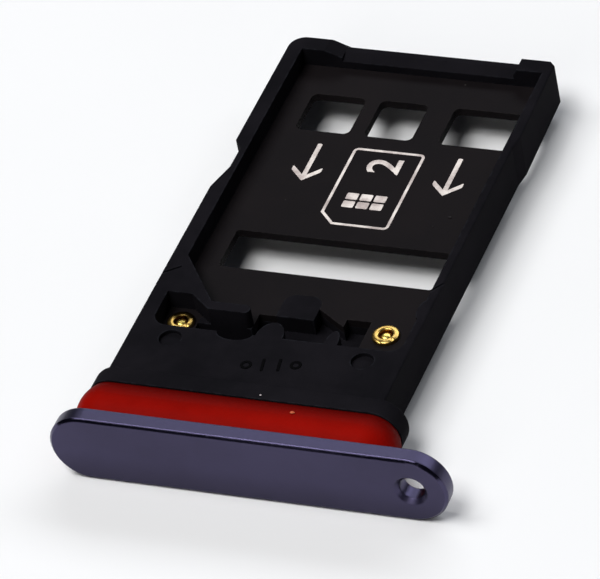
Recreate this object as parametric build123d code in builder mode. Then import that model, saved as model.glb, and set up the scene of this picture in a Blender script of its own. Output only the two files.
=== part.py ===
"""SIM card tray: metal cap, silicone seal, two-sided moulded frame, steel divider and brass rivets.

The cap face looks along -Y, the tip of the tray points along +Y and the first card lies on top.
Places along the tray are taken from the front edge of the lower card pocket and grow towards the tip,
places across it from the middle of the tray, heights from the middle of its thickness.
"""
import os

from build123d import *

# Cap
CAP_LENGTH = 14.4
CAP_HEIGHT = 2.68
CAP_DEPTH = 0.65
CAP_BEVEL = 0.1
CAP_BACK_ROUND = 0.06
EJECT_INSET = 1.3
EJECT_BORE = 0.9
EJECT_BEVEL = 0.15

# Neck behind the cap, the arms that reach back to the rivets, and the seal on the neck
NECK_OFFSET = -0.97
NECK_LENGTH = 10.4
NECK_HEIGHT = 1.0
ARM_WIDTH = 1.1
ARM_THICK = 0.35
RING_DEPTH = 1.75
RING_WALL = 0.64
RING_CREST = 1.07
RING_FRONT_LIP = 0.12
RING_BACK_LIP = 0.48

# Moulded frame, its length counted from the cap face
TRAY_OFFSET = -1.085
TRAY_WIDTH = 10.07
TRAY_THICK = 1.75
TRAY_LENGTH = 21.57
TRAY_ROUND = 0.08
COLLAR_DEPTH = 0.85
COLLAR_LENGTH = 11.45
COLLAR_HEIGHT = 2.1
COLLAR_ROUND = 0.2
RIM_LEFT = 0.6
RIM_RIGHT = 0.3
TIP_WALL = 0.7
TIP_DROP = 0.27
TIP_LEAD = 0.4
TIP_LEAD_DROP = 0.15
TIP_POST_LEFT = 1.45
TIP_POST_RIGHT = 1.28
TIP_RAMP_LEFT = 0.65
TIP_RAMP_RIGHT = 0.15
TIP_CORNER = 0.6
TIP_BEVEL = 0.2

# Latch notch on the left side and the friction bump on the right side
LATCH_START = 4.83
LATCH_RAMP = 1.15
LATCH_FLAT = 1.05
LATCH_STEP = 0.4
LATCH_DEPTH = 0.32
BUMP_START = 8.48
BUMP_RISE = 0.65
BUMP_HEIGHT = 0.09

# Card pockets
POCKET_LENGTH = 12.7
CARD_CLIP = 1.65
CLIP_ACROSS = 1.73
CLIP_ALONG = 2.2

# Wells round the rivets, the finger beside the left well and the trench between the wells
WELL_FRONT = -2.52
WELL_RADIUS = 0.55
LEFT_WELL_BACK = -0.82
LEFT_WELL_WIDTH = 0.9
LOWER_WELL_WIDTH = 1.5
NUB_BACK = -0.27
NUB_LENGTH = 0.9
NUB_HEIGHT = 0.15
FINGER_BACK = -1.07
FINGER_WIDTH = 0.4
FINGER_LENGTH = 1.505
TRENCH_LEFT_GAP = 1.235
TRENCH_RIGHT_GAP = 1.885
TRENCH_DEPTH = 0.65
LOBE_X = -0.05
LOBE_WIDTH = 1.0
LOBE_REACH = 0.75
SMALL_LOBE_X = 2.2
SMALL_LOBE_WIDTH = 0.5
SMALL_LOBE_REACH = 0.7
DIP_X = -1.3
DIP_WIDTH = 1.3
DIP_REACH = 0.35

# Moulding marks: round ejector marks on the front block and slanted seams across the rims
PIN_MARK_BACK = -3.14
PIN_MARK_WIDTH = 0.8
PIN_MARK_DEPTH = 0.15
PIN_MARK_LEFT = -3.46
PIN_MARK_RIGHT = 3.6
SEAM_WIDTH = 0.12
SEAM_DEPTH = 0.06
SEAM_SLANT = 0.45
SEAM_LEFT_BACK = -0.02
SEAM_RIGHT_BACK = 0.68

# Steel divider between the pockets; gaps are counted from the pocket's walls
PLATE_THICK = 0.3
PLATE_TUCK = 0.12
PLATE_FRONT = -0.67
PAD_LEFT = -0.6
PAD_RIGHT = 0.8
PAD_BACK = 0.53
PAD_ROUND = 0.45
STEP_X = 1.95
STEP_BACK = -0.42
STEP_FRONT = -0.82
SLOT_LEFT_GAP = 0.835
SLOT_RIGHT_GAP = 0.385
SLOT_FRONT = 1.53
SLOT_LENGTH = 1.96
SLOT_ROUND = 0.12
WINDOW_LEFT_GAP = 0.885
WINDOW_RIGHT_GAP = 0.235
WINDOW_END_GAP = 1.55
WINDOW_LENGTH = 2.02
WINDOW_ROUND = 0.25
LEFT_WINDOW_WIDTH = 2.07
RIGHT_WINDOW_WIDTH = 2.6
LEFT_BAR = 0.56
RIGHT_BAR = 1.0

# Tubular rivets
RIVET_LEFT_GAP = 0.655
RIVET_LEFT_BACK = -1.57
RIVET_RIGHT_GAP = 1.135
RIVET_RIGHT_BACK = -1.04
RIVET_SHANK = 0.56
RIVET_FLANGE = 0.98
RIVET_LIP = 0.14
RIVET_ROUND = 0.08
RIVET_CUP = 0.5
RIVET_CUP_DEPTH = 0.1
RIVET_BEAD = 0.3
RIVET_BEAD_HEIGHT = 0.08

# Derived places along the tray
pocket_end = POCKET_LENGTH
tip = pocket_end + TIP_WALL
cap_front = tip - TRAY_LENGTH
cap_back = cap_front + CAP_DEPTH
ring_crest = cap_back + RING_CREST
collar_front = cap_back + RING_DEPTH
collar_middle = collar_front + COLLAR_DEPTH / 2
latch_floor = LATCH_START + LATCH_RAMP
latch_step = latch_floor + LATCH_FLAT
latch_end = latch_step + LATCH_STEP
clip_back = FINGER_BACK + CLIP_ALONG
finger_front = FINGER_BACK - FINGER_WIDTH
plate_near = WELL_FRONT - PLATE_TUCK
pad_length = PAD_BACK - PLATE_FRONT
window_middle = pocket_end - WINDOW_END_GAP - WINDOW_LENGTH / 2

# Derived places across the tray
eject_x = CAP_LENGTH / 2 - EJECT_INSET
neck_side = NECK_OFFSET - TRAY_OFFSET
neck_straight = (NECK_LENGTH - NECK_HEIGHT) / 2
half_width = TRAY_WIDTH / 2
pocket_left = RIM_LEFT - half_width
pocket_right = half_width - RIM_RIGHT
clip_side = pocket_left + CLIP_ACROSS
finger_round = FINGER_WIDTH / 2
finger_end = clip_side + FINGER_LENGTH
finger_arc = finger_end - finger_round
well_right = pocket_left + LEFT_WELL_WIDTH
trench_left = pocket_left + TRENCH_LEFT_GAP
trench_right = pocket_right - TRENCH_RIGHT_GAP
post_left = TIP_POST_LEFT - half_width
post_right = half_width - TIP_POST_RIGHT
saddle_left = post_left + TIP_RAMP_LEFT
saddle_right = post_right - TIP_RAMP_RIGHT
pad_width = PAD_RIGHT - PAD_LEFT
slot_left = pocket_left + SLOT_LEFT_GAP
slot_right = pocket_right - SLOT_RIGHT_GAP
left_window = pocket_left + WINDOW_LEFT_GAP
left_bar = left_window + LEFT_WINDOW_WIDTH
right_window = pocket_right - WINDOW_RIGHT_GAP - RIGHT_WINDOW_WIDTH
window_edges = (
    (left_window, left_bar),
    (left_bar + LEFT_BAR, right_window - RIGHT_BAR),
    (right_window, pocket_right - WINDOW_RIGHT_GAP),
)
rivet_places = (
    (pocket_left + RIVET_LEFT_GAP, RIVET_LEFT_BACK),
    (pocket_right - RIVET_RIGHT_GAP, RIVET_RIGHT_BACK),
)
lobes = ((LOBE_X, LOBE_WIDTH, LOBE_REACH), (SMALL_LOBE_X, SMALL_LOBE_WIDTH, SMALL_LOBE_REACH))

# Derived heights
MID_Z = CAP_HEIGHT / 2
neck_top = NECK_HEIGHT / 2
half_thick = TRAY_THICK / 2
half_plate = PLATE_THICK / 2
pocket_depth = half_thick - half_plate
trench_floor = half_plate - TRENCH_DEPTH
saddle_height = half_thick - TIP_DROP
mark_floor = half_thick - PIN_MARK_DEPTH
seam_floor = half_thick - SEAM_DEPTH
collar_top = COLLAR_HEIGHT / 2
arm_floor = -half_plate - ARM_THICK
rivet_top = half_plate + RIVET_LIP
cup_floor = rivet_top - RIVET_CUP_DEPTH

# Front edge of the pocket along Y, with the whole tray centred on the origin
POCKET_Y = TRAY_LENGTH / 2 - tip


def level(height):
    """Flat plane over the tray, height measured from the middle of its thickness."""
    return Plane(origin=(TRAY_OFFSET, POCKET_Y, MID_Z + height))


def across(back, side=0.0):
    """Upright plane across the tray, facing the user, at the given place along it."""
    return Plane(origin=(side, POCKET_Y + back, MID_Z), x_dir=(1, 0, 0), z_dir=(0, -1, 0))


def along(side):
    """Upright plane along the tray, facing its right side, the given distance from its middle."""
    return Plane(origin=(TRAY_OFFSET + side, POCKET_Y, MID_Z), x_dir=(0, 1, 0), z_dir=(1, 0, 0))


def keep_lobes():
    """Leave the rounded lobes of the front block standing in the opening that is being drawn."""
    for lobe_x, lobe_width, lobe_reach in lobes:
        with Locations((lobe_x, WELL_FRONT)):
            Ellipse(lobe_width / 2, lobe_reach, mode=Mode.SUBTRACT)


os.makedirs("parts", exist_ok=True)

# Outline of the two riveting arms of the cap, shared with their seats in the frame
with BuildSketch(level(-half_plate)) as arm_outline:
    for side, back in rivet_places:
        arm_end = back + ARM_WIDTH / 2
        with Locations((side, (collar_front + arm_end) / 2)):
            Rectangle(ARM_WIDTH, arm_end - collar_front)

# Cap: pill-shaped face plate with the eject hole, neck for the seal and two riveting arms
with BuildPart() as tray_cap:
    with BuildSketch(across(cap_front)) as cap_face:
        SlotOverall(CAP_LENGTH, CAP_HEIGHT)
    extrude(amount=-CAP_DEPTH)
    chamfer(tray_cap.faces().sort_by(Axis.Y)[0].edges(), CAP_BEVEL)
    fillet(tray_cap.faces().sort_by(Axis.Y)[-1].edges(), CAP_BACK_ROUND)
    with BuildSketch(across(cap_front, eject_x)) as eject_hole:
        Circle(EJECT_BORE / 2)
    extrude(amount=-CAP_DEPTH, mode=Mode.SUBTRACT)
    front_arcs = tray_cap.faces().sort_by(Axis.Y)[0].edges().filter_by(GeomType.CIRCLE)
    chamfer(front_arcs.sort_by(SortBy.RADIUS)[0], EJECT_BEVEL)
    with BuildSketch(across(cap_back, NECK_OFFSET)) as neck:
        SlotOverall(NECK_LENGTH, NECK_HEIGHT)
    extrude(amount=-RING_DEPTH)
    add(arm_outline.sketch)
    extrude(amount=-ARM_THICK)
    with BuildSketch(level(-half_plate)) as arm_holes:
        with Locations(*rivet_places):
            Circle(RIVET_SHANK / 2)
    extrude(amount=-ARM_THICK, mode=Mode.SUBTRACT)

# Seal: soft ring on the neck, crowned towards the collar; a quarter of it is drawn and mirrored twice
with BuildPart() as seal_ring:
    with BuildSketch(along(neck_side)) as seal_section:
        with BuildLine():
            Polyline(
                (cap_back, neck_top + RING_FRONT_LIP),
                (cap_back, neck_top),
                (collar_front, neck_top),
                (collar_front, neck_top + RING_BACK_LIP),
            )
            TangentArc((ring_crest, neck_top + RING_WALL), (cap_back, neck_top + RING_FRONT_LIP),
                       tangent=(-1, 0))
            TangentArc((ring_crest, neck_top + RING_WALL), (collar_front, neck_top + RING_BACK_LIP),
                       tangent=(1, 0))
        make_face()
    extrude(amount=neck_straight)
    ring_end = seal_ring.faces().sort_by(Axis.X)[-1]
    revolve(ring_end, axis=Axis((NECK_OFFSET + neck_straight, 0, MID_Z), (0, 1, 0)), revolution_arc=90)
    mirror(about=level(0))
    mirror(about=along(neck_side))

# Front edge of the divider, from the finger to the right rivet, shared with the trench
divider_edge = (
    (finger_end, PLATE_FRONT),
    (PAD_LEFT, PLATE_FRONT),
    (PAD_RIGHT, PLATE_FRONT),
    (PAD_RIGHT, PLATE_FRONT + pad_length / 2),
    (STEP_X, STEP_FRONT),
    (STEP_X, STEP_BACK),
    (trench_right, STEP_BACK),
)

# Outline of the whole divider, with the notch that the moulded pad fills
with BuildSketch(level(-half_plate)) as divider_outline:
    with BuildLine():
        Polyline(
            (pocket_left - PLATE_TUCK, pocket_end + PLATE_TUCK),
            (pocket_left - PLATE_TUCK, plate_near),
            (trench_left, plate_near),
            (trench_left, FINGER_BACK - PLATE_TUCK),
            (finger_end, FINGER_BACK - PLATE_TUCK),
            *divider_edge,
            (trench_right, plate_near),
            (pocket_right + PLATE_TUCK, plate_near),
            (pocket_right + PLATE_TUCK, pocket_end + PLATE_TUCK),
            close=True,
        )
    make_face()
    with Locations((PAD_LEFT + pad_width / 2, PLATE_FRONT + pad_length / 2)):
        RectangleRounded(pad_width, pad_length, PAD_ROUND, mode=Mode.SUBTRACT)
    with Locations((PAD_LEFT + pad_width / 2, PLATE_FRONT + pad_length / 4)):
        Rectangle(pad_width, pad_length / 2, mode=Mode.SUBTRACT)

# Divider: steel sheet pierced for the long slot, the windows and the rivets
with BuildPart() as divider_plate:
    add(divider_outline.sketch)
    extrude(amount=PLATE_THICK)
    with BuildSketch(level(-half_plate)) as piercings:
        with Locations(((slot_left + slot_right) / 2, SLOT_FRONT + SLOT_LENGTH / 2)):
            RectangleRounded(slot_right - slot_left, SLOT_LENGTH, SLOT_ROUND)
        for window_left, window_right in window_edges:
            with Locations(((window_left + window_right) / 2, window_middle)):
                RectangleRounded(window_right - window_left, WINDOW_LENGTH, WINDOW_ROUND)
        with Locations(*rivet_places):
            Circle(RIVET_SHANK / 2)
    extrude(amount=PLATE_THICK, mode=Mode.SUBTRACT)

# Collar that backs the seal
with BuildPart() as collar:
    with BuildSketch(across(collar_front, NECK_OFFSET)) as collar_face:
        SlotOverall(COLLAR_LENGTH, COLLAR_HEIGHT)
    extrude(amount=-COLLAR_DEPTH)
    fillet(collar.faces().sort_by(Axis.Y)[-1].edges(), COLLAR_ROUND)

# Frame: one moulding with the collar, the front block, the rims and the tip
with BuildPart() as tray_frame:
    with BuildSketch(level(-half_thick)) as frame_outline:
        with BuildLine():
            Polyline(
                (-half_width, tip - TIP_CORNER),
                (-half_width, latch_end),
                (LATCH_DEPTH - half_width, latch_step),
                (LATCH_DEPTH - half_width, latch_floor),
                (-half_width, LATCH_START),
                (-half_width, collar_middle),
                (half_width, collar_middle),
                (half_width, BUMP_START),
                (half_width + BUMP_HEIGHT, BUMP_START + BUMP_RISE),
                (half_width, tip - TIP_BEVEL),
                (half_width - TIP_BEVEL, tip),
                (TIP_CORNER - half_width, tip),
            )
            RadiusArc((TIP_CORNER - half_width, tip), (-half_width, tip - TIP_CORNER), -TIP_CORNER)
        make_face()
    extrude(amount=TRAY_THICK)
    fillet(tray_frame.faces().filter_by(Axis.Z).edges(), TRAY_ROUND)
    add(collar.part)

    # Middle of the tip wall, lower than the posts at its corners
    with BuildSketch(across(tip, TRAY_OFFSET)) as tip_saddle:
        with BuildLine():
            Polyline(
                (post_left, half_thick),
                (saddle_left, saddle_height),
                (saddle_right, saddle_height),
                (post_right, half_thick),
                close=True,
            )
        make_face()
    extrude(amount=TIP_WALL, mode=Mode.SUBTRACT)
    tip_edges = tray_frame.edges().filter_by(Axis.X).group_by(Axis.Y)[-1]
    saddle_edge = tip_edges.filter_by_position(
        Axis.Z, MID_Z + saddle_height - TRAY_ROUND, MID_Z + saddle_height + TRAY_ROUND)
    fillet(saddle_edge, TRAY_ROUND)

    # Sloped lead-in on the inner edge of the tip wall
    with BuildSketch(along(saddle_left)) as tip_lead:
        with BuildLine():
            Polyline(
                (pocket_end, saddle_height),
                (pocket_end + TIP_LEAD, saddle_height),
                (pocket_end, saddle_height - TIP_LEAD_DROP),
                close=True,
            )
        make_face()
    extrude(amount=saddle_right - saddle_left, mode=Mode.SUBTRACT)

    # Upper pocket with both wells, traced round the finger
    with BuildSketch(level(half_plate)) as upper_opening:
        with BuildLine():
            Polyline(
                (finger_arc, FINGER_BACK),
                (clip_side, FINGER_BACK),
                (pocket_left, clip_back),
                (pocket_left, pocket_end),
                (pocket_right, pocket_end),
                (pocket_right, WELL_FRONT + WELL_RADIUS),
            )
            RadiusArc((pocket_right, WELL_FRONT + WELL_RADIUS),
                      (pocket_right - WELL_RADIUS, WELL_FRONT), WELL_RADIUS)
            Line((pocket_right - WELL_RADIUS, WELL_FRONT), (pocket_left + WELL_RADIUS, WELL_FRONT))
            RadiusArc((pocket_left + WELL_RADIUS, WELL_FRONT),
                      (pocket_left, WELL_FRONT + WELL_RADIUS), WELL_RADIUS)
            Polyline(
                (pocket_left, WELL_FRONT + WELL_RADIUS),
                (pocket_left, LEFT_WELL_BACK),
                (well_right, LEFT_WELL_BACK),
                (clip_side, finger_front),
                (finger_arc, finger_front),
            )
            ThreePointArc((finger_arc, finger_front), (finger_end, finger_front + finger_round),
                          (finger_arc, FINGER_BACK))
        make_face()
        with Locations((DIP_X, WELL_FRONT)):
            Ellipse(DIP_WIDTH / 2, DIP_REACH)
        keep_lobes()
        with Locations((pocket_right, NUB_BACK)):
            Ellipse(NUB_HEIGHT, NUB_LENGTH / 2, mode=Mode.SUBTRACT)
    extrude(amount=pocket_depth, mode=Mode.SUBTRACT)

    # Shallow round marks on the front block
    with BuildSketch(level(mark_floor)) as pin_marks:
        with Locations((PIN_MARK_LEFT, PIN_MARK_BACK), (PIN_MARK_RIGHT, PIN_MARK_BACK)):
            Circle(PIN_MARK_WIDTH / 2)
    extrude(amount=collar_top - mark_floor, mode=Mode.SUBTRACT)

    # Slanted moulding seams across the rims
    with BuildSketch(level(seam_floor)) as seams:
        for seam_start, seam_end, seam_back in (
            (-half_width, pocket_left, SEAM_LEFT_BACK),
            (pocket_right, half_width, SEAM_RIGHT_BACK),
        ):
            with BuildLine():
                Polyline(
                    (seam_start, seam_back),
                    (seam_end, seam_back + SEAM_SLANT),
                    (seam_end, seam_back + SEAM_SLANT + SEAM_WIDTH),
                    (seam_start, seam_back + SEAM_WIDTH),
                    close=True,
                )
            make_face()
    extrude(amount=SEAM_DEPTH, mode=Mode.SUBTRACT)

    # Trench between the wells, deeper than the divider
    with BuildSketch(level(trench_floor)) as trench:
        with BuildLine():
            Polyline(
                (trench_left, WELL_FRONT),
                (trench_left, finger_front),
                (finger_end, finger_front),
                *divider_edge,
                (trench_right, WELL_FRONT),
                close=True,
            )
        make_face()
        keep_lobes()
    extrude(amount=TRENCH_DEPTH, mode=Mode.SUBTRACT)

    # Lower pocket for the second card, clipped on the other side, and round wells under the rivets
    with BuildSketch(level(-half_thick)) as lower_pocket:
        with BuildLine():
            Polyline(
                (pocket_left, 0),
                (pocket_left, pocket_end),
                (pocket_right, pocket_end),
                (pocket_right, CARD_CLIP),
                (pocket_right - CARD_CLIP, 0),
                close=True,
            )
        make_face()
    extrude(amount=pocket_depth, mode=Mode.SUBTRACT)
    with BuildSketch(level(-half_thick)) as lower_wells:
        with Locations(*rivet_places):
            Circle(LOWER_WELL_WIDTH / 2)
    extrude(amount=half_thick + arm_floor, mode=Mode.SUBTRACT)

    # Seats of the divider and of the arms
    add(divider_outline.sketch)
    extrude(amount=PLATE_THICK, mode=Mode.SUBTRACT)
    add(arm_outline.sketch)
    extrude(amount=-ARM_THICK, mode=Mode.SUBTRACT)

# Rivets: flanged studs closed over the divider and the arms, cupped on top round a bead
with BuildPart() as rivets:
    for side, back in rivet_places:
        rivet_plane = across(back, TRAY_OFFSET + side)
        with BuildSketch(rivet_plane) as rivet_half:
            with BuildLine():
                Polyline(
                    (0, cup_floor + RIVET_BEAD_HEIGHT),
                    (0, arm_floor - RIVET_LIP),
                    (RIVET_FLANGE / 2, arm_floor - RIVET_LIP),
                    (RIVET_FLANGE / 2, arm_floor),
                    (RIVET_SHANK / 2, arm_floor),
                    (RIVET_SHANK / 2, half_plate),
                    (RIVET_FLANGE / 2, half_plate),
                    (RIVET_FLANGE / 2, rivet_top - RIVET_ROUND),
                )
                RadiusArc((RIVET_FLANGE / 2, rivet_top - RIVET_ROUND),
                          (RIVET_FLANGE / 2 - RIVET_ROUND, rivet_top), -RIVET_ROUND)
                Polyline(
                    (RIVET_FLANGE / 2 - RIVET_ROUND, rivet_top),
                    (RIVET_CUP / 2, rivet_top),
                    (RIVET_BEAD / 2, cup_floor),
                )
                TangentArc((0, cup_floor + RIVET_BEAD_HEIGHT), (RIVET_BEAD / 2, cup_floor), tangent=(1, 0))
            make_face()
        revolve(axis=Axis(rivet_plane.origin, (0, 0, 1)))

for node, name in (
    (tray_cap, "tray_cap"),
    (seal_ring, "seal_ring"),
    (tray_frame, "tray_frame"),
    (divider_plate, "divider_plate"),
    (rivets, "rivets"),
):
    node.part.label = name
    export_step(node.part, f"parts/{name}.step")
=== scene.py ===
"""A phone's card tray, dressed for its picture: the finishes of its five pieces, the rolled rivets, the print
on the divider plate, the moulding marks on the frame and flecks of dust, on a pale floor in soft light."""
import math

import bpy
from mathutils import Matrix, Vector


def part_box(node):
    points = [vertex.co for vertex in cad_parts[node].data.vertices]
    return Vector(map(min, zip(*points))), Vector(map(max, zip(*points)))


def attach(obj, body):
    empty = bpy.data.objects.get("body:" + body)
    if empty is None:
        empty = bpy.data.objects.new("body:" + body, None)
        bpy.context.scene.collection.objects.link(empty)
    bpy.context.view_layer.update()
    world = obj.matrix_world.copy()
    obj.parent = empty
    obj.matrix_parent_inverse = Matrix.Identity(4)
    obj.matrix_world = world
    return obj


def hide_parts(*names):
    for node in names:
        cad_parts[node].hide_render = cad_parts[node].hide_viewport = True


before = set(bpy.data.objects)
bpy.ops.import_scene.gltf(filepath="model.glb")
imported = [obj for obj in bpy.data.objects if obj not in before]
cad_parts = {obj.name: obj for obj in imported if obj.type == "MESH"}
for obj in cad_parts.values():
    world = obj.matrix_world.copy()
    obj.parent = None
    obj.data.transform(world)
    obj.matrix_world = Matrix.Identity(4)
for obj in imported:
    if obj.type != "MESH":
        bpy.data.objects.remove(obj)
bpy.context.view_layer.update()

MM = 0.001
CLOSE = 0.001 * MM
BODY = "root"

# The camera: where it looks, from how far, and how it is turned
VIEW_AIM = Vector((-1.42, -1.65, 1.34)) * MM
VIEW_DISTANCE = 213.2 * MM
VIEW_AZIMUTH = 27.87
VIEW_ELEVATION = 39.36
VIEW_ROLL = -11.87
LENS = 370.6
SENSOR = 36.0
NEAREST = 0.01
FARTHEST = 20.0

# The soft lights: name, place, width and length in metres, power in watts, and colour
LIGHTS = (
    ("key_left", (-0.32, -0.08, 0.62), 0.32, 0.32, 2.10, (1.0, 1.0, 1.0)),
    ("key_front", (-0.09, -0.28, 0.63), 0.27, 0.27, 2.35, (1.0, 1.0, 1.0)),
    ("front_fill", (-0.03, -0.61, 0.28), 0.30, 0.30, 0.5, (1.0, 0.98, 0.96)),
    ("back_strip", (0.07, 0.50, 0.42), 0.95, 0.20, 2.3, (0.92, 0.95, 1.0)),
)
ROOM_COLOUR = (0.82, 0.86, 1.0, 1.0)
ROOM_STRENGTH = 0.045
WHITE = (1.0, 1.0, 1.0, 1.0)
FLOOR_SIZE = 6.0

# Colours of the finishes in linear light; a pair holds the two ends of a slow drift of tone
PLASTIC = ((0.0058, 0.0055, 0.0070), (0.0094, 0.0086, 0.0108))
PLASTIC_POLISHED = (0.016, 0.017, 0.021)
PLASTIC_DUST = (0.30, 0.29, 0.28)
# Painted shade: the moulding marks are coloured deeper black than the plastic
SHADED_MARKS = ((0.0006, 0.0006, 0.0008), (0.0013, 0.0012, 0.0015))
COATING = ((0.0065, 0.0053, 0.0060), (0.0096, 0.0078, 0.0085))
COATING_BARE = (0.07, 0.065, 0.06)
COATING_DUST = (0.30, 0.28, 0.27)
ANODISING = ((0.056, 0.050, 0.094), (0.067, 0.060, 0.114))
# Painted shade on the lower part of the cap's face
ANODISING_FOOT_SHADE = (0.022, 0.020, 0.034)
ANODISING_WORN = (0.20, 0.19, 0.27)
SILICONE = ((0.23, 0.0026, 0.0008), (0.285, 0.0038, 0.0014))
# Painted shade on the back of the seal, towards the collar
SILICONE_COLLAR_SHADE = (0.079, 0.0008, 0.0002)
SILICONE_DUST = (0.62, 0.30, 0.22)
BRASS = ((0.50, 0.31, 0.075), (0.70, 0.48, 0.14))
# Painted shade in the rivets' cups
BRASS_CUP_SHADE = (0.15, 0.045, 0.005)
# A painted highlight on the rivets' beads
BRASS_BEAD_HIGHLIGHT = (0.86, 0.66, 0.17)
# Painted shade on the far side of the left rivet
BRASS_FAR_SHADE = (0.02, 0.011, 0.003)
INK = ((0.44, 0.37, 0.35), (0.84, 0.77, 0.72))
PAPER = ((0.86, 0.86, 0.86), (0.88, 0.88, 0.88))

# The eject hole in the cap: its axis across and up, and how far its countersink reaches, in millimetres
HOLE_PLACE = (5.9, 1.34)
HOLE_REACH = 0.8
# Painted shade darkens the cap's face from this height down
FACE_DARK_FROM = 1.3
# Painted shade darkens the seal from this far behind its front end
SEAL_SHADE_FROM = 0.55

# The print on the divider plate, in millimetres
INK_THICK = 0.012
INK_SUNK = 0.002
PRINT_MIDDLE = -0.71
PRINT_FRONT = 1.70
PRINT_BACK = 5.85
CARD_WIDTH = 2.70
CARD_LINE = 0.105
CARD_CLIP = 0.58
CARD_ROUND = 0.2
CARD_ROUND_STEPS = 5
ARROW_APART = 5.32
ARROW_STROKE = 0.175
ARROW_TIP = 3.80
ARROW_BARB = Vector((0.47, 0.45, 0))
ARROW_ROUND = 0.35 * ARROW_STROKE
NUMERAL = "2"
NUMERAL_SIZE = 1.75
NUMERAL_PLACE = (-0.05, 5.02)
NUMERAL_BOLDER = 0.02
NUMERAL_STEPS = 6
PAD_WIDTH = 0.44
PAD_LENGTH = 0.34
PAD_GAP = 0.09
PAD_COLUMNS = 3
PAD_ROWS = 2
PADS_MIDDLE = (-0.70, 3.05)
ROUND_STEPS = 3

# The low moulding marks on the front block, in millimetres and degrees
MARK_MIDDLE = (-0.54, -6.50)
MARK_TURN = 9.0
MARK_PITCH = 0.58
MARK_STROKE = 0.1
MARK_HEIGHT = 0.62
MARK_RING = MARK_HEIGHT / 3
MARK_RING_SIDES = 28
MARK_ROUND = 0.4 * MARK_STROKE
MARK_RISE = 0.02
MARK_ROW = ("ring", "bar", "bar", "ring")

# The rivets, in millimetres and degrees; the roll runs from the rim to the bead in the cup, and each of its
# rings has a distance from the axis and a height against the crest
RIVET_FLANGE = 0.98
RIVET_SHANK = 0.56
RIVET_LIP = 0.14
RIVET_SIDES = 48
RIVET_ROLL = (
    (0.49, -0.10),
    (0.484, -0.060),
    (0.468, -0.032),
    (0.44, -0.015),
    (0.40, -0.006),
    (0.35, 0.0),
    (0.30, -0.003),
    (0.27, -0.012),
    (0.252, -0.03),
    (0.242, -0.08),
    (0.235, -0.15),
    (0.22, -0.17),
    (0.20, -0.165),
    (0.185, -0.14),
    (0.168, -0.105),
    (0.14, -0.085),
    (0.10, -0.072),
    (0.05, -0.066),
)
RIVET_SPLITS = (262.5, 322.5)
SPLIT_START = 0.3
SPLIT_HALF_WIDTH = 0.005
SPLIT_DEPTH = 0.03
RIVET_SMOOTH_BELOW = 40
# Painted shade fills the cup inside the first distances from the axis, a painted highlight lights the bead
# inside the next, and painted shade darkens the far side of the left rivet from the last distances behind its
# axis, in millimetres
CUP_EDGE = (0.26, 0.24)
BEAD_EDGE = (0.19, 0.165)
FAR_SHADE_EDGE = (0.02, 0.24)
TURNING_PITCH = 0.06

# Flecks of dust: the piece each lies on, its place and its length, in millimetres
FLECKS = (
    ("tray_frame", -0.249, -8.20, 0.085),
    ("seal_ring", 1.200, -8.95, 0.19),
    ("divider_plate", 2.178, 2.167, 0.075),
    ("divider_plate", 2.614, 2.729, 0.15),
)
# The dust on each piece: its name, its two tints and the slot of the piece
DUSTS = {
    "tray_frame": ("pale_dust", (0.42, 0.36, 0.36), (0.70, 0.64, 0.66), "frame_plastic"),
    "seal_ring": ("reddened_dust", (0.42, 0.085, 0.035), (0.60, 0.15, 0.07), "seal_silicone"),
    "divider_plate": ("grey_lint", (0.017, 0.0155, 0.0165), (0.026, 0.024, 0.025), "divider_coating"),
}
FLECK_SHAPE = (1.0, 0.6, 0.3)
FLECK_LIFT = 1 / 8
FLECK_UNEVEN = 0.06

# Sockets of the Mix node when it mixes colours
MIX_SHARE = 0
MIX_FIRST = 6
MIX_SECOND = 7
MIX_RESULT = 2


def set_input(tree, socket, value):
    """Gives a socket a value, or links it to another node's output."""
    if isinstance(value, bpy.types.NodeSocket):
        tree.links.new(value, socket)
    else:
        socket.default_value = value


def add_node(tree, kind, settings=None, **inputs):
    """A node with its settings; an input is given a value or another node's output."""
    made = tree.nodes.new(kind)
    for name, value in (settings or {}).items():
        setattr(made, name, value)
    for name, value in inputs.items():
        set_input(tree, made.inputs[name.replace("_", " ")], value)
    return made


def calculate(tree, operation, *values):
    """The result of a Math node."""
    made = add_node(tree, "ShaderNodeMath", {"operation": operation})
    for socket, value in zip(made.inputs, values):
        set_input(tree, socket, value)
    return made.outputs[0]


def ramp(tree, value, low, high, start=0.0, end=1.0):
    """A value taken smoothly from one range to another."""
    made = add_node(tree, "ShaderNodeMapRange", {"interpolation_type": "SMOOTHSTEP"}, Value=value,
                    From_Min=low, From_Max=high, To_Min=start, To_Max=end)
    return made.outputs["Result"]


def vary(tree, mask, start, change):
    """A value that a mask changes."""
    return calculate(tree, "MULTIPLY_ADD", mask, change, start)


def mix_colour(tree, share, first, second):
    """Two colours mixed by a mask."""
    made = add_node(tree, "ShaderNodeMix", {"data_type": "RGBA"})
    set_input(tree, made.inputs[MIX_SHARE], share)
    for index, colour in ((MIX_FIRST, first), (MIX_SECOND, second)):
        if not isinstance(colour, bpy.types.NodeSocket):
            colour = (*colour, 1.0)
        set_input(tree, made.inputs[index], colour)
    return made.outputs[MIX_RESULT]


def overlay(tree, mask, strength, under, over):
    """A colour laid over another where a mask is, at a strength."""
    return mix_colour(tree, calculate(tree, "MULTIPLY", mask, strength), under, over)


def millimetres(tree):
    """Object coordinates in millimetres."""
    place = tree.nodes.new("ShaderNodeTexCoord")
    scaled = add_node(tree, "ShaderNodeVectorMath", {"operation": "SCALE"}, Vector=place.outputs["Object"],
                      Scale=1 / MM)
    return scaled.outputs["Vector"]


def split_axes(tree, vector):
    """The X, Y and Z of a vector."""
    return add_node(tree, "ShaderNodeSeparateXYZ", Vector=vector).outputs


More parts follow.
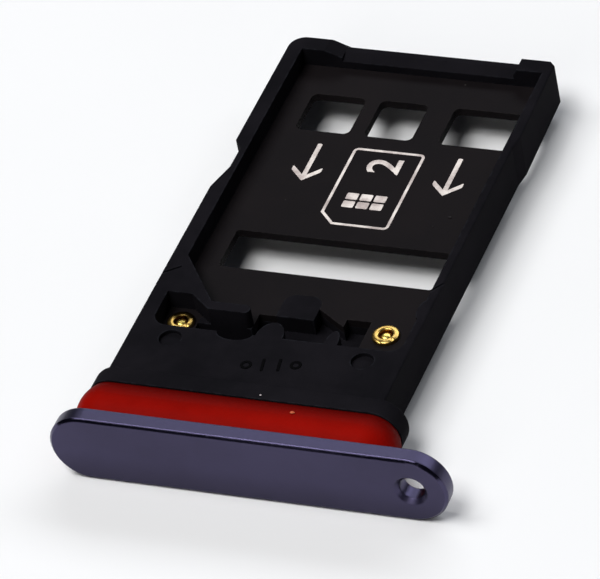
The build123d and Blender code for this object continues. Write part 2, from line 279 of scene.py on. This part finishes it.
def facing(tree):
    """The X, Y and Z of the way a surface faces."""
    return split_axes(tree, add_node(tree, "ShaderNodeNewGeometry").outputs["Normal"])


def reach_from(tree, *pairs):
    """Distance from an axis, from each coordinate and the axis's own."""
    squares = [calculate(tree, "POWER", calculate(tree, "SUBTRACT", at, axis), 2.0) for at, axis in pairs]
    return calculate(tree, "SQRT", calculate(tree, "ADD", *squares))


def new_group(name, inputs, outputs):
    """An empty shader group with its named sockets."""
    group = bpy.data.node_groups.new(name, "ShaderNodeTree")
    for socket, value in inputs.items():
        made = group.interface.new_socket(socket, in_out="INPUT", socket_type="NodeSocketFloat")
        made.default_value = value
    for socket, kind in outputs.items():
        group.interface.new_socket(socket, in_out="OUTPUT", socket_type=kind)
    return group, group.nodes.new("NodeGroupInput").outputs, group.nodes.new("NodeGroupOutput").inputs


def make_tone_drift():
    """Slow drift of tone over a surface."""
    group, given, result = new_group("tone_drift", {"Scale": 0.5}, {"Tone": "NodeSocketFloat"})
    cloud = add_node(group, "ShaderNodeTexNoise", Vector=millimetres(group), Scale=given["Scale"],
                     Detail=4.0, Roughness=0.6)
    group.links.new(ramp(group, cloud.outputs["Fac"], low=0.3, high=0.7), result["Tone"])
    return group


def make_fine_grain():
    """The fine grain of a moulded, blasted or sprayed surface, as a height."""
    group, given, result = new_group("fine_grain", {"Scale": 14.0}, {"Height": "NodeSocketFloat"})
    place = millimetres(group)
    grain = add_node(group, "ShaderNodeTexNoise", Vector=place, Scale=given["Scale"], Detail=3.0,
                     Roughness=0.65)
    pits = add_node(group, "ShaderNodeTexVoronoi", Vector=place, Scale=given["Scale"])
    height = vary(group, pits.outputs["Distance"], start=grain.outputs["Fac"], change=0.35)
    group.links.new(height, result["Height"])
    return group


def make_edge_wear():
    """Edges turned a little round, and a broken mask of wear along the outer ones."""
    group, given, result = new_group("edge_wear", {"Radius": 0.03 * MM, "Reach": 0.08 * MM, "Breakup": 5.0},
                                     {"Normal": "NodeSocketVector", "Wear": "NodeSocketFloat"})
    rounded = add_node(group, "ShaderNodeBevel", {"samples": 6}, Radius=given["Radius"])
    inner = add_node(group, "ShaderNodeAmbientOcclusion",
                     {"inside": True, "only_local": True, "samples": 8}, Distance=given["Reach"])
    edge = ramp(group, inner.outputs["AO"], low=0.95, high=0.55)
    breaks = add_node(group, "ShaderNodeTexNoise", Vector=millimetres(group), Scale=given["Breakup"],
                      Detail=4.0)
    broken = ramp(group, breaks.outputs["Fac"], low=0.42, high=0.6)
    group.links.new(rounded.outputs["Normal"], result["Normal"])
    group.links.new(calculate(group, "MULTIPLY", edge, broken), result["Wear"])
    return group


def make_dust():
    """Sparse specks of dust that settle on what faces up."""
    group, given, result = new_group("settled_dust", {"Cells": 2.2, "Size": 0.09, "Share": 0.16},
                                     {"Dust": "NodeSocketFloat"})
    specks = add_node(group, "ShaderNodeTexVoronoi", Vector=millimetres(group), Scale=given["Cells"])
    chance = add_node(group, "ShaderNodeSeparateColor", Color=specks.outputs["Color"])
    kept = calculate(group, "LESS_THAN", chance.outputs["Red"], given["Share"])
    size = calculate(group, "MULTIPLY", given["Size"], chance.outputs["Green"])
    inside = calculate(group, "LESS_THAN", specks.outputs["Distance"], size)
    upward = ramp(group, facing(group)["Z"], low=0.6, high=0.9)
    mask = calculate(group, "MULTIPLY", calculate(group, "MULTIPLY", kept, inside), upward)
    group.links.new(mask, result["Dust"])
    return group


TONE_DRIFT = make_tone_drift()
FINE_GRAIN = make_fine_grain()
EDGE_WEAR = make_edge_wear()
SETTLED_DUST = make_dust()


def use_group(tree, group, **inputs):
    """A shared effect placed in a material with its own values."""
    made = tree.nodes.new("ShaderNodeGroup")
    made.node_tree = group
    for name, value in inputs.items():
        made.inputs[name].default_value = value
    return made.outputs


def new_material(name, **constants):
    """A material with its shader's constant values set, and its tree."""
    material = bpy.data.materials.new(name)
    material.use_nodes = True
    tree = material.node_tree
    shader = tree.nodes["Principled BSDF"]
    for socket, value in constants.items():
        shader.inputs[socket.replace("_", " ")].default_value = value
    return material, tree, shader


def feed(tree, shader, **sources):
    """Links what changes over the surface to the shader."""
    for socket, source in sources.items():
        tree.links.new(source, shader.inputs[socket.replace("_", " ")])


def relief(tree, shader, height, normal, depth):
    """Bump of a depth in metres over the rounded edges."""
    bump = add_node(tree, "ShaderNodeBump", Height=height, Normal=normal, Strength=1.0, Distance=depth)
    feed(tree, shader, Normal=bump.outputs["Normal"])


def make_black_plastic():
    """Matt black moulded plastic with slightly polished outer edges."""
    material, tree, shader = new_material("black_moulded_plastic", Specular_IOR_Level=0.008)
    drift = use_group(tree, TONE_DRIFT, Scale=0.45)
    grain = use_group(tree, FINE_GRAIN, Scale=16.0)
    edges = use_group(tree, EDGE_WEAR, Radius=0.035 * MM, Reach=0.09 * MM, Breakup=3.5)
    dust = use_group(tree, SETTLED_DUST, Cells=1.6, Size=0.06, Share=0.03)
    plastic = mix_colour(tree, drift["Tone"], *PLASTIC)
    polished = overlay(tree, edges["Wear"], strength=0.6, under=plastic, over=PLASTIC_POLISHED)
    dusty = overlay(tree, dust["Dust"], strength=0.35, under=polished, over=PLASTIC_DUST)
    matt = vary(tree, drift["Tone"], start=0.6, change=0.08)
    rough = vary(tree, edges["Wear"], start=matt, change=-0.14)
    feed(tree, shader, Base_Color=dusty, Roughness=rough)
    relief(tree, shader, grain["Height"], edges["Normal"], depth=0.004 * MM)
    return material


def make_shaded_marks():
    """The same plastic where the mould was polished: smoother, and painted deeper black as shade."""
    material, tree, shader = new_material("polished_shaded_black_plastic", Specular_IOR_Level=0.01)
    drift = use_group(tree, TONE_DRIFT, Scale=2.0)
    grain = use_group(tree, FINE_GRAIN, Scale=30.0)
    edges = use_group(tree, EDGE_WEAR, Radius=0.01 * MM, Reach=0.02 * MM, Breakup=6.0)
    rough = vary(tree, drift["Tone"], start=0.35, change=0.1)
    # Painted shade: the marks' colour is far darker than the plastic
    feed(tree, shader, Base_Color=mix_colour(tree, drift["Tone"], *SHADED_MARKS), Roughness=rough)
    relief(tree, shader, grain["Height"], edges["Normal"], depth=0.002 * MM)
    return material


def make_black_coating():
    """Sprayed black coating on steel sheet, a little warmer than the plastic, thin along its cut edges."""
    material, tree, shader = new_material("sprayed_black_coating", Specular_IOR_Level=0.025)
    drift = use_group(tree, TONE_DRIFT, Scale=0.32)
    grain = use_group(tree, FINE_GRAIN, Scale=11.0)
    edges = use_group(tree, EDGE_WEAR, Radius=0.02 * MM, Reach=0.05 * MM, Breakup=6.0)
    dust = use_group(tree, SETTLED_DUST, Cells=1.4, Size=0.06, Share=0.05)
    coating = mix_colour(tree, drift["Tone"], *COATING)
    thin = calculate(tree, "MULTIPLY", edges["Wear"], 0.12)
    bare = mix_colour(tree, thin, coating, COATING_BARE)
    dusty = overlay(tree, dust["Dust"], strength=0.2, under=bare, over=COATING_DUST)
    rough = vary(tree, drift["Tone"], start=0.46, change=0.1)
    feed(tree, shader, Base_Color=dusty, Metallic=thin, Roughness=rough)
    relief(tree, shader, grain["Height"], edges["Normal"], depth=0.004 * MM)
    return material


def make_violet_anodising():
    """Fine-blasted aluminium anodised violet grey: smoother on the rim and the outer chamfer, with painted
    shade low down on the face."""
    material, tree, shader = new_material("violet_anodised_aluminium", Metallic=1.0)
    drift = use_group(tree, TONE_DRIFT, Scale=0.28)
    grain = use_group(tree, FINE_GRAIN, Scale=22.0)
    edges = use_group(tree, EDGE_WEAR, Radius=0.085 * MM, Reach=0.07 * MM, Breakup=4.0)
    place = split_axes(tree, millimetres(tree))
    along = facing(tree)["Y"]
    rim = ramp(tree, calculate(tree, "ABSOLUTE", along), low=0.95, high=0.85)
    from_hole = reach_from(tree, (place["X"], HOLE_PLACE[0]), (place["Z"], HOLE_PLACE[1]))
    off_hole = calculate(tree, "GREATER_THAN", from_hole, HOLE_REACH)
    slanted = calculate(tree, "COMPARE", along, -0.7, 0.22)
    chamfer = calculate(tree, "MULTIPLY", slanted, off_hole)
    low_down = ramp(tree, place["Z"], low=FACE_DARK_FROM, high=0.0)
    on_face = ramp(tree, along, low=-0.8, high=-0.95)
    foot = calculate(tree, "MULTIPLY", low_down, on_face)
    anodised = mix_colour(tree, drift["Tone"], *ANODISING)
    # Painted shade darkens the foot of the face
    foot_shaded = overlay(tree, foot, strength=0.45, under=anodised, over=ANODISING_FOOT_SHADE)
    worn = overlay(tree, edges["Wear"], strength=0.12, under=foot_shaded, over=ANODISING_WORN)
    blasted = vary(tree, drift["Tone"], start=0.40, change=0.06)
    smoother = vary(tree, rim, start=blasted, change=-0.06)
    rough = vary(tree, chamfer, start=smoother, change=-0.24)
    feed(tree, shader, Base_Color=worn, Roughness=rough)
    relief(tree, shader, grain["Height"], edges["Normal"], depth=0.002 * MM)
    return material


def make_red_silicone():
    """Red silicone: satin, a little translucent, with painted shade darkening it towards the collar, and dust
    in its skin.
    """
    material, tree, shader = new_material("red_silicone", Specular_IOR_Level=0.015, Subsurface_Weight=0.12,
                                          Subsurface_Scale=0.25 * MM, Subsurface_Radius=(1.0, 0.12, 0.06))
    drift = use_group(tree, TONE_DRIFT, Scale=0.4)
    grain = use_group(tree, FINE_GRAIN, Scale=8.0)
    edges = use_group(tree, EDGE_WEAR, Radius=0.03 * MM, Reach=0.06 * MM, Breakup=5.0)
    dust = use_group(tree, SETTLED_DUST, Cells=2.4, Size=0.08, Share=0.08)
    along = split_axes(tree, millimetres(tree))["Y"]
    low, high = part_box("seal_ring")
    collar_shade = ramp(tree, along, low=low.y / MM + SEAL_SHADE_FROM, high=high.y / MM)
    bright = mix_colour(tree, drift["Tone"], *SILICONE)
    # Painted shade towards the collar
    skin = mix_colour(tree, collar_shade, bright, SILICONE_COLLAR_SHADE)
    dusty = overlay(tree, dust["Dust"], strength=0.4, under=skin, over=SILICONE_DUST)
    rough = vary(tree, drift["Tone"], start=0.46, change=0.08)
    feed(tree, shader, Base_Color=dusty, Roughness=rough)
    relief(tree, shader, grain["Height"], edges["Normal"], depth=0.003 * MM)
    return material


def make_turned_brass():
    """Bright brass with fine turned rings about each rivet's axis, painted shade in the cup, a painted
    highlight on the bead, and painted shade on the far side of the left rivet."""
    material, tree, shader = new_material("turned_brass", Metallic=1.0)
    drift = use_group(tree, TONE_DRIFT, Scale=2.5)
    edges = use_group(tree, EDGE_WEAR, Radius=0.03 * MM, Reach=0.05 * MM, Breakup=8.0)
    low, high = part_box("rivets")
    half = RIVET_FLANGE / 2
    left = (low.x / MM + half, low.y / MM + half)
    right = (high.x / MM - half, high.y / MM - half)
    place = split_axes(tree, millimetres(tree))
    is_right = calculate(tree, "GREATER_THAN", place["X"], (left[0] + right[0]) / 2)
    is_left = calculate(tree, "SUBTRACT", 1.0, is_right)
    middle_x = vary(tree, is_right, start=left[0], change=right[0] - left[0])
    middle_y = vary(tree, is_right, start=left[1], change=right[1] - left[1])
    radius = reach_from(tree, (place["X"], middle_x), (place["Y"], middle_y))
    rings = calculate(tree, "SINE", calculate(tree, "MULTIPLY", radius, 2 * math.pi / TURNING_PITCH))
    brass = mix_colour(tree, drift["Tone"], *BRASS)
    # Painted shade in the cup
    cup = mix_colour(tree, ramp(tree, radius, *CUP_EDGE), brass, BRASS_CUP_SHADE)
    # A painted highlight on the bead
    bead = mix_colour(tree, ramp(tree, radius, *BEAD_EDGE), cup, BRASS_BEAD_HIGHLIGHT)
    # Painted shade on the far side of the left rivet
    far_side = ramp(tree, calculate(tree, "SUBTRACT", place["Y"], middle_y), *FAR_SHADE_EDGE)
    far_shade_mask = calculate(tree, "MULTIPLY", far_side, is_left)
    far_shaded = overlay(tree, far_shade_mask, strength=0.9, under=bead, over=BRASS_FAR_SHADE)
    rough = vary(tree, drift["Tone"], start=0.28, change=0.06)
    feed(tree, shader, Base_Color=far_shaded, Roughness=rough)
    relief(tree, shader, rings, edges["Normal"], depth=0.0002 * MM)
    return material


def make_white_ink():
    """Warm white pad print, thinner in places."""
    material, tree, shader = new_material("warm_white_ink", Specular_IOR_Level=0.3)
    drift = use_group(tree, TONE_DRIFT, Scale=1.6)
    grain = use_group(tree, FINE_GRAIN, Scale=13.0)
    edges = use_group(tree, EDGE_WEAR, Radius=0.006 * MM, Reach=0.01 * MM, Breakup=6.0)
    rough = vary(tree, grain["Height"], start=0.45, change=0.2)
    feed(tree, shader, Base_Color=mix_colour(tree, drift["Tone"], *INK), Roughness=rough)
    relief(tree, shader, grain["Height"], edges["Normal"], depth=0.002 * MM)
    return material


def make_dust_crumb(name, thin, thick):
    """Lint and dust between two tints."""
    material, tree, shader = new_material(name, Specular_IOR_Level=0.05)
    drift = use_group(tree, TONE_DRIFT, Scale=9.0)
    grain = use_group(tree, FINE_GRAIN, Scale=40.0)
    edges = use_group(tree, EDGE_WEAR, Radius=0.004 * MM, Reach=0.01 * MM, Breakup=20.0)
    rough = ramp(tree, drift["Tone"], low=0.0, high=1.0, start=0.7, end=0.95)
    feed(tree, shader, Base_Color=mix_colour(tree, drift["Tone"], thin, thick), Roughness=rough)
    relief(tree, shader, grain["Height"], edges["Normal"], depth=0.004 * MM)
    return material


def dress_cad_pieces():
    """Gives each CAD piece its finish, and returns the finishes by piece."""
    finishes = {
        "tray_cap": make_violet_anodising(),
        "seal_ring": make_red_silicone(),
        "tray_frame": make_black_plastic(),
        "divider_plate": make_black_coating(),
        "rivets": make_turned_brass(),
    }
    for node, finish in finishes.items():
        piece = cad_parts[node]
        for slot in piece.material_slots:
            slot.material = finish
    return finishes


def start_piece():
    """Object mode with nothing selected."""
    if bpy.context.object and bpy.context.object.mode != "OBJECT":
        bpy.ops.object.mode_set(mode="OBJECT")
    bpy.ops.object.select_all(action="DESELECT")


def choose(piece):
    """Makes a piece the only one selected, and the active one."""
    start_piece()
    piece.select_set(True)
    bpy.context.view_layer.objects.active = piece


def rename(piece, name):
    """Gives a piece and its mesh a name."""
    piece.name = name
    piece.data.name = name


def select_where(kind, test):
    """Edit mode with only the corners or edges chosen whose points all pass a test."""
    bpy.ops.object.mode_set(mode="EDIT")
    bpy.ops.mesh.select_mode(type=kind)
    bpy.ops.mesh.select_all(action="DESELECT")
    bpy.ops.object.mode_set(mode="OBJECT")
    mesh = bpy.context.object.data
    if kind == "VERT":
        for corner in mesh.vertices:
            corner.select = test(corner.co)
    else:
        for edge in mesh.edges:
            edge.select = all(test(mesh.vertices[end].co) for end in edge.vertices)
    bpy.ops.object.mode_set(mode="EDIT")


def select_whole():
    """Edit mode with everything chosen."""
    bpy.ops.object.mode_set(mode="EDIT")
    bpy.ops.mesh.select_all(action="SELECT")


def draw_out(x=0.0, y=0.0, z=0.0):
    """Extrudes what is selected by a shift in metres."""
    bpy.ops.mesh.extrude_region_move(TRANSFORM_OT_translate={"value": (x, y, z)})


def round_corners(radius, steps):
    """Rounds the selected corners of a flat piece; one step clips them."""
    bpy.ops.mesh.bevel(offset=radius, segments=steps, affect="VERTICES")


def near(first, second):
    """Whether two places are the same within a thousandth of a millimetre."""
    return abs(first - second) < CLOSE


def settle(piece):
    """Leaves a piece at the origin, with its place in its mesh."""
    choose(piece)
    bpy.ops.object.transform_apply(location=True, rotation=True, scale=True)


def add_plane(name, x, y, z, width, length):
    """A flat rectangle with its middle at a place, all in metres."""
    start_piece()
    bpy.ops.mesh.primitive_plane_add(size=1.0, location=(x, y, z))
    piece = bpy.context.object
    rename(piece, name)
    piece.scale = (width, length, 1.0)
    settle(piece)
    return piece


def thicken(piece, thick):
    """Gives a flat piece its thickness upwards."""
    choose(piece)
    wall = piece.modifiers.new("thickness", "SOLIDIFY")
    wall.thickness = thick
    wall.offset = 1.0
    bpy.ops.object.modifier_apply(modifier=wall.name)


def copy_piece(piece, name, shift):
    """A copy with its own mesh, moved by a shift."""
    choose(piece)
    bpy.ops.object.duplicate(linked=False)
    made = bpy.context.object
    rename(made, name)
    bpy.ops.transform.translate(value=shift)
    settle(made)
    return made


def join_pieces(pieces, name):
    """Several pieces made one."""
    start_piece()
    for piece in pieces:
        piece.select_set(True)
    bpy.context.view_layer.objects.active = pieces[0]
    bpy.ops.object.join()
    rename(pieces[0], name)
    return pieces[0]


def finish_piece(piece, finish):
    """Gives a piece its finish and the body that it rides on."""
    piece.data.materials.clear()
    piece.data.materials.append(finish)
    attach(piece, BODY)


def top_of(node, x, y):
    """Height of a CAD piece's upper surface under a place, in metres."""
    above = Vector((x, y, 1.0))
    down = Vector((0.0, 0.0, -1.0))
    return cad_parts[node].ray_cast(above, down)[1].z


def print_level():
    """Where the ink starts: just under the plate's upper face."""
    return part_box("divider_plate")[1].z - INK_SUNK * MM


def model_card_outline():
    """The outline of a card with one clipped corner."""
    width = CARD_WIDTH * MM
    length = (PRINT_BACK - PRINT_FRONT) * MM
    middle_y = (PRINT_BACK + PRINT_FRONT) / 2 * MM
    middle_x = PRINT_MIDDLE * MM
    card = add_plane("print_card_outline", middle_x, middle_y, print_level(), width, length)
    front = middle_y - length / 2
    left = middle_x - width / 2
    select_where("VERT", lambda at: near(at.x, left) and near(at.y, front))
    round_corners(CARD_CLIP * MM, 1)
    right = middle_x + width / 2
    back = middle_y + length / 2
    select_where("VERT", lambda at: near(at.x, right) or near(at.y, back))
    round_corners(CARD_ROUND * MM, CARD_ROUND_STEPS)
    bpy.ops.mesh.select_all(action="SELECT")
    bpy.ops.mesh.inset(thickness=CARD_LINE * MM, depth=0.0)
    bpy.ops.mesh.delete(type="FACE")
    thicken(card, INK_THICK * MM)
    return card


def model_arrow(x):
    """An arrow that points to the front: a block drawn out to a shaft, two barbs and a tip."""
    stroke = ARROW_STROKE * MM
    barb = ARROW_BARB * MM
    slope = barb.y / barb.x
    block = stroke * barb.length / barb.x
    tip = stroke / 2 * slope
    low = ARROW_TIP * MM + tip
    arrow = add_plane("print_arrow_left", x, low + block / 2, print_level(), stroke, block)
    left = x - stroke / 2
    right = x + stroke / 2
    select_where("EDGE", lambda at: near(at.y, low + block))
    draw_out(y=PRINT_BACK * MM - low - block)
    for side, reach in ((left, -barb.x), (right, barb.x)):
        select_where("EDGE", lambda at: near(at.x, side) and at.y < low + block + CLOSE)
        draw_out(x=reach, y=barb.y)
    select_where("EDGE", lambda at: near(at.y, low))
    draw_out(y=-tip)
    bpy.ops.mesh.merge(type="CENTER")
    select_where("VERT", lambda at: near(at.y, PRINT_BACK * MM) or abs(at.x - x) > barb.x)
    round_corners(ARROW_ROUND * MM, ROUND_STEPS)
    thicken(arrow, INK_THICK * MM)
    return arrow


def model_numeral():
    """A plain numeral that reads along the tray."""
    start_piece()
    x, y = NUMERAL_PLACE
    bpy.ops.object.text_add(location=(x * MM, y * MM, print_level() + INK_THICK / 2 * MM))
    text = bpy.context.object
    text.data.body = NUMERAL
    text.data.size = NUMERAL_SIZE * MM
    text.data.align_x = "CENTER"
    text.data.extrude = INK_THICK / 2 * MM
    text.data.offset = NUMERAL_BOLDER * MM
    text.data.resolution_u = NUMERAL_STEPS
    text.rotation_euler.z = math.radians(90)
    bpy.ops.object.convert(target="MESH")
    numeral = bpy.context.object
    rename(numeral, "print_numeral")
    settle(numeral)
    return numeral


def model_contact_pads():
    """Six contact pads in two rows."""
    x, y = PADS_MIDDLE
    step_x = (PAD_WIDTH + PAD_GAP) * MM
    step_y = (PAD_LENGTH + PAD_GAP) * MM
    first = add_plane("print_pad", x * MM - step_x, y * MM - step_y / 2, print_level(), PAD_WIDTH * MM,
                      PAD_LENGTH * MM)
    select_whole()
    round_corners(PAD_GAP / 2 * MM, ROUND_STEPS)
    thicken(first, INK_THICK * MM)
    pads = [first]
    for column in range(PAD_COLUMNS):
        for row in range(PAD_ROWS):
            if column or row:
                pads.append(copy_piece(first, "print_pad", (column * step_x, row * step_y, 0)))
    return join_pieces(pads, "print_contact_pads")


def model_print(ink):
    """All the print on the divider plate."""
    x = (PRINT_MIDDLE - ARROW_APART / 2) * MM
    left = model_arrow(x)
    right = copy_piece(left, "print_arrow_right", (ARROW_APART * MM, 0, 0))
    for piece in (model_card_outline(), left, right, model_numeral(), model_contact_pads()):
        finish_piece(piece, ink)


def add_flat_ring(x, y, z, radius, stroke):
    """A flat ring drawn inwards from a circle, all in metres."""
    start_piece()
    bpy.ops.mesh.primitive_circle_add(vertices=MARK_RING_SIDES, radius=radius, location=(x, y, z))
    ring = bpy.context.object
    select_whole()
    share = 1 - stroke / radius
    bpy.ops.mesh.extrude_edges_move()
    bpy.ops.transform.resize(value=(share, share, 1.0))
    bpy.ops.mesh.select_all(action="SELECT")
    bpy.ops.mesh.normals_make_consistent(inside=False)
    settle(ring)
    return ring


def add_round_bar(x, y, z, width, length):
    """A flat bar with rounded corners, all in metres."""
    bar = add_plane("mark_bar", x, y, z, width, length)
    select_whole()
    round_corners(MARK_ROUND * MM, ROUND_STEPS)
    return bar


def model_moulding_marks(plastic):
    """A row of low rings and bars left by the mould on the front block."""
    x, y = (value * MM for value in MARK_MIDDLE)
    level = top_of("tray_frame", x, y) - INK_SUNK * MM
    marks = []
    for index, kind in enumerate(MARK_ROW):
        at = x + (index - (len(MARK_ROW) - 1) / 2) * MARK_PITCH * MM
        if kind == "ring":
            mark = add_flat_ring(at, y, level, MARK_RING * MM, MARK_STROKE * MM)
        else:
            mark = add_round_bar(at, y, level, MARK_STROKE * MM, MARK_HEIGHT * MM)
        thicken(mark, (MARK_RISE + INK_SUNK) * MM)
        marks.append(mark)
    row = join_pieces(marks, "moulding_marks")
    select_whole()
    bpy.ops.transform.rotate(value=math.radians(-MARK_TURN), orient_axis="Z", center_override=(x, y, level))
    start_piece()
    finish_piece(row, plastic)


def split_flange(middle, turn, above):
    """Lowers one line of corners of a rolled flange, so that the flange looks split there."""
    along = Vector((math.cos(math.radians(turn)), math.sin(math.radians(turn))))
    select_where("VERT", lambda at: at.z > above + CLOSE
                 and (at.xy - middle).dot(along) > SPLIT_START * MM
                 and abs((at.xy - middle).cross(along)) < SPLIT_HALF_WIDTH * MM)
    bpy.ops.transform.translate(value=(0, 0, -SPLIT_DEPTH * MM))


def model_rivets(brass):
    """Two rivets that stand for the plain CAD ones: a flange, a shank and a rolled, twice split flange."""
    low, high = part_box("rivets")
    rim = RIVET_FLANGE / 2 * MM
    x = low.x + rim
    y = low.y + rim
    start_piece()
    bpy.ops.mesh.primitive_circle_add(vertices=RIVET_SIDES, radius=rim, fill_type="NGON",
                                      location=(x, y, low.z))
    left = bpy.context.object
    rename(left, "rolled_rivets")
    settle(left)
    select_where("VERT", lambda at: True)
    draw_out(z=RIVET_LIP * MM)
    bpy.ops.mesh.inset(thickness=(RIVET_FLANGE - RIVET_SHANK) / 2 * MM, depth=0.0)
    draw_out(z=high.z - low.z - 2 * RIVET_LIP * MM)
    seat = (x, y, high.z - RIVET_LIP * MM)
    wider = RIVET_FLANGE / RIVET_SHANK
    draw_out()
    bpy.ops.transform.resize(value=(wider, wider, 1.0), center_override=seat)
    reach, height = RIVET_ROLL[0]
    draw_out(z=(RIVET_LIP + height) * MM)
    for next_reach, next_height in RIVET_ROLL[1:]:
        bpy.ops.mesh.inset(thickness=(reach - next_reach) * MM, depth=(next_height - height) * MM)
        reach, height = next_reach, next_height
    bpy.ops.mesh.select_all(action="SELECT")
    bpy.ops.mesh.normals_make_consistent(inside=False)
    for turn in RIVET_SPLITS:
        split_flange(Vector((x, y)), turn, seat[2])
    right = copy_piece(left, "rolled_rivet_right", (high.x - rim - x, high.y - rim - y, 0))
    pair = join_pieces([left, right], "rolled_rivets")
    bpy.ops.object.shade_smooth_by_angle(angle=math.radians(RIVET_SMOOTH_BELOW))
    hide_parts("rivets")
    finish_piece(pair, brass)


def model_flecks():
    """Flattened, uneven crumbs of dust, each on the piece that carries it."""
    dusts = {node: make_dust_crumb(name, thin, thick) for node, (name, thin, thick, slot) in DUSTS.items()}
    for number, (node, x, y, length) in enumerate(FLECKS, start=1):
        start_piece()
        level = top_of(node, x * MM, y * MM)
        bpy.ops.mesh.primitive_ico_sphere_add(subdivisions=2, radius=length / 2 * MM,
                                              location=(x * MM, y * MM, level + length * FLECK_LIFT * MM))
        fleck = bpy.context.object
        rename(fleck, f"dust_fleck_{number}")
        select_whole()
        bpy.ops.transform.resize(value=FLECK_SHAPE)
        bpy.ops.transform.vertex_random(offset=length * FLECK_UNEVEN * MM, seed=number)
        settle(fleck)
        bpy.ops.object.shade_smooth()
        finish_piece(fleck, dusts[node])


def add_camera():
    """The camera at the photograph's angle."""
    turn = (Matrix.Rotation(math.radians(VIEW_AZIMUTH), 3, "Z")
            @ Matrix.Rotation(math.radians(90 - VIEW_ELEVATION), 3, "X")
            @ Matrix.Rotation(math.radians(VIEW_ROLL), 3, "Z"))
    data = bpy.data.cameras.new("picture_camera")
    data.lens = LENS
    data.sensor_width = SENSOR
    data.clip_start = NEAREST
    data.clip_end = FARTHEST
    camera = bpy.data.objects.new("picture_camera", data)
    camera.matrix_world = turn.to_4x4()
    camera.location = VIEW_AIM + turn @ Vector((0.0, 0.0, VIEW_DISTANCE))
    bpy.context.collection.objects.link(camera)
    bpy.context.scene.camera = camera


def add_floor():
    """A pale, even floor."""
    start_piece()
    bpy.ops.mesh.primitive_plane_add(size=FLOOR_SIZE, location=(0.0, 0.0, 0.0))
    floor = bpy.context.object
    floor.name = "floor"
    paper, tree, shader = new_material("pale_paper", Specular_IOR_Level=0.0, Roughness=0.9)
    drift = use_group(tree, TONE_DRIFT, Scale=0.02)
    feed(tree, shader, Base_Color=mix_colour(tree, drift["Tone"], *PAPER))
    floor.data.materials.append(paper)


def add_softbox(name, place, width, length, watts, colour):
    """A soft rectangular light that faces the object."""
    start_piece()
    bpy.ops.object.light_add(type="AREA", location=place)
    lamp = bpy.context.object
    lamp.name = name
    lamp.data.shape = "RECTANGLE"
    lamp.data.size = width
    lamp.data.size_y = length
    lamp.data.energy = watts
    lamp.data.color = colour
    lamp.rotation_euler = (-Vector(place)).to_track_quat("-Z", "Y").to_euler()
    lamp.visible_camera = False


def add_light():
    """Two soft lights high up, a weak fill in front, a strip behind, and a dim room that is seen as white."""
    for light in LIGHTS:
        add_softbox(*light)
    world = bpy.data.worlds.new("studio")
    bpy.context.scene.world = world
    world.use_nodes = True
    tree = world.node_tree
    room = tree.nodes["Background"]
    room.inputs["Color"].default_value = ROOM_COLOUR
    room.inputs["Strength"].default_value = ROOM_STRENGTH
    seen = add_node(tree, "ShaderNodeBackground", Color=WHITE, Strength=1.0)
    path = tree.nodes.new("ShaderNodeLightPath")
    chosen = tree.nodes.new("ShaderNodeMixShader")
    tree.links.new(path.outputs["Is Camera Ray"], chosen.inputs["Fac"])
    tree.links.new(room.outputs["Background"], chosen.inputs[1])
    tree.links.new(seen.outputs["Background"], chosen.inputs[2])
    tree.links.new(chosen.outputs["Shader"], tree.nodes["World Output"].inputs["Surface"])
    bpy.context.scene.view_settings.view_transform = "Standard"
    bpy.context.scene.view_settings.look = "None"


finishes = dress_cad_pieces()
model_rivets(finishes["rivets"])
model_print(make_white_ink())
model_moulding_marks(make_shaded_marks())
model_flecks()
add_floor()
add_light()
add_camera()
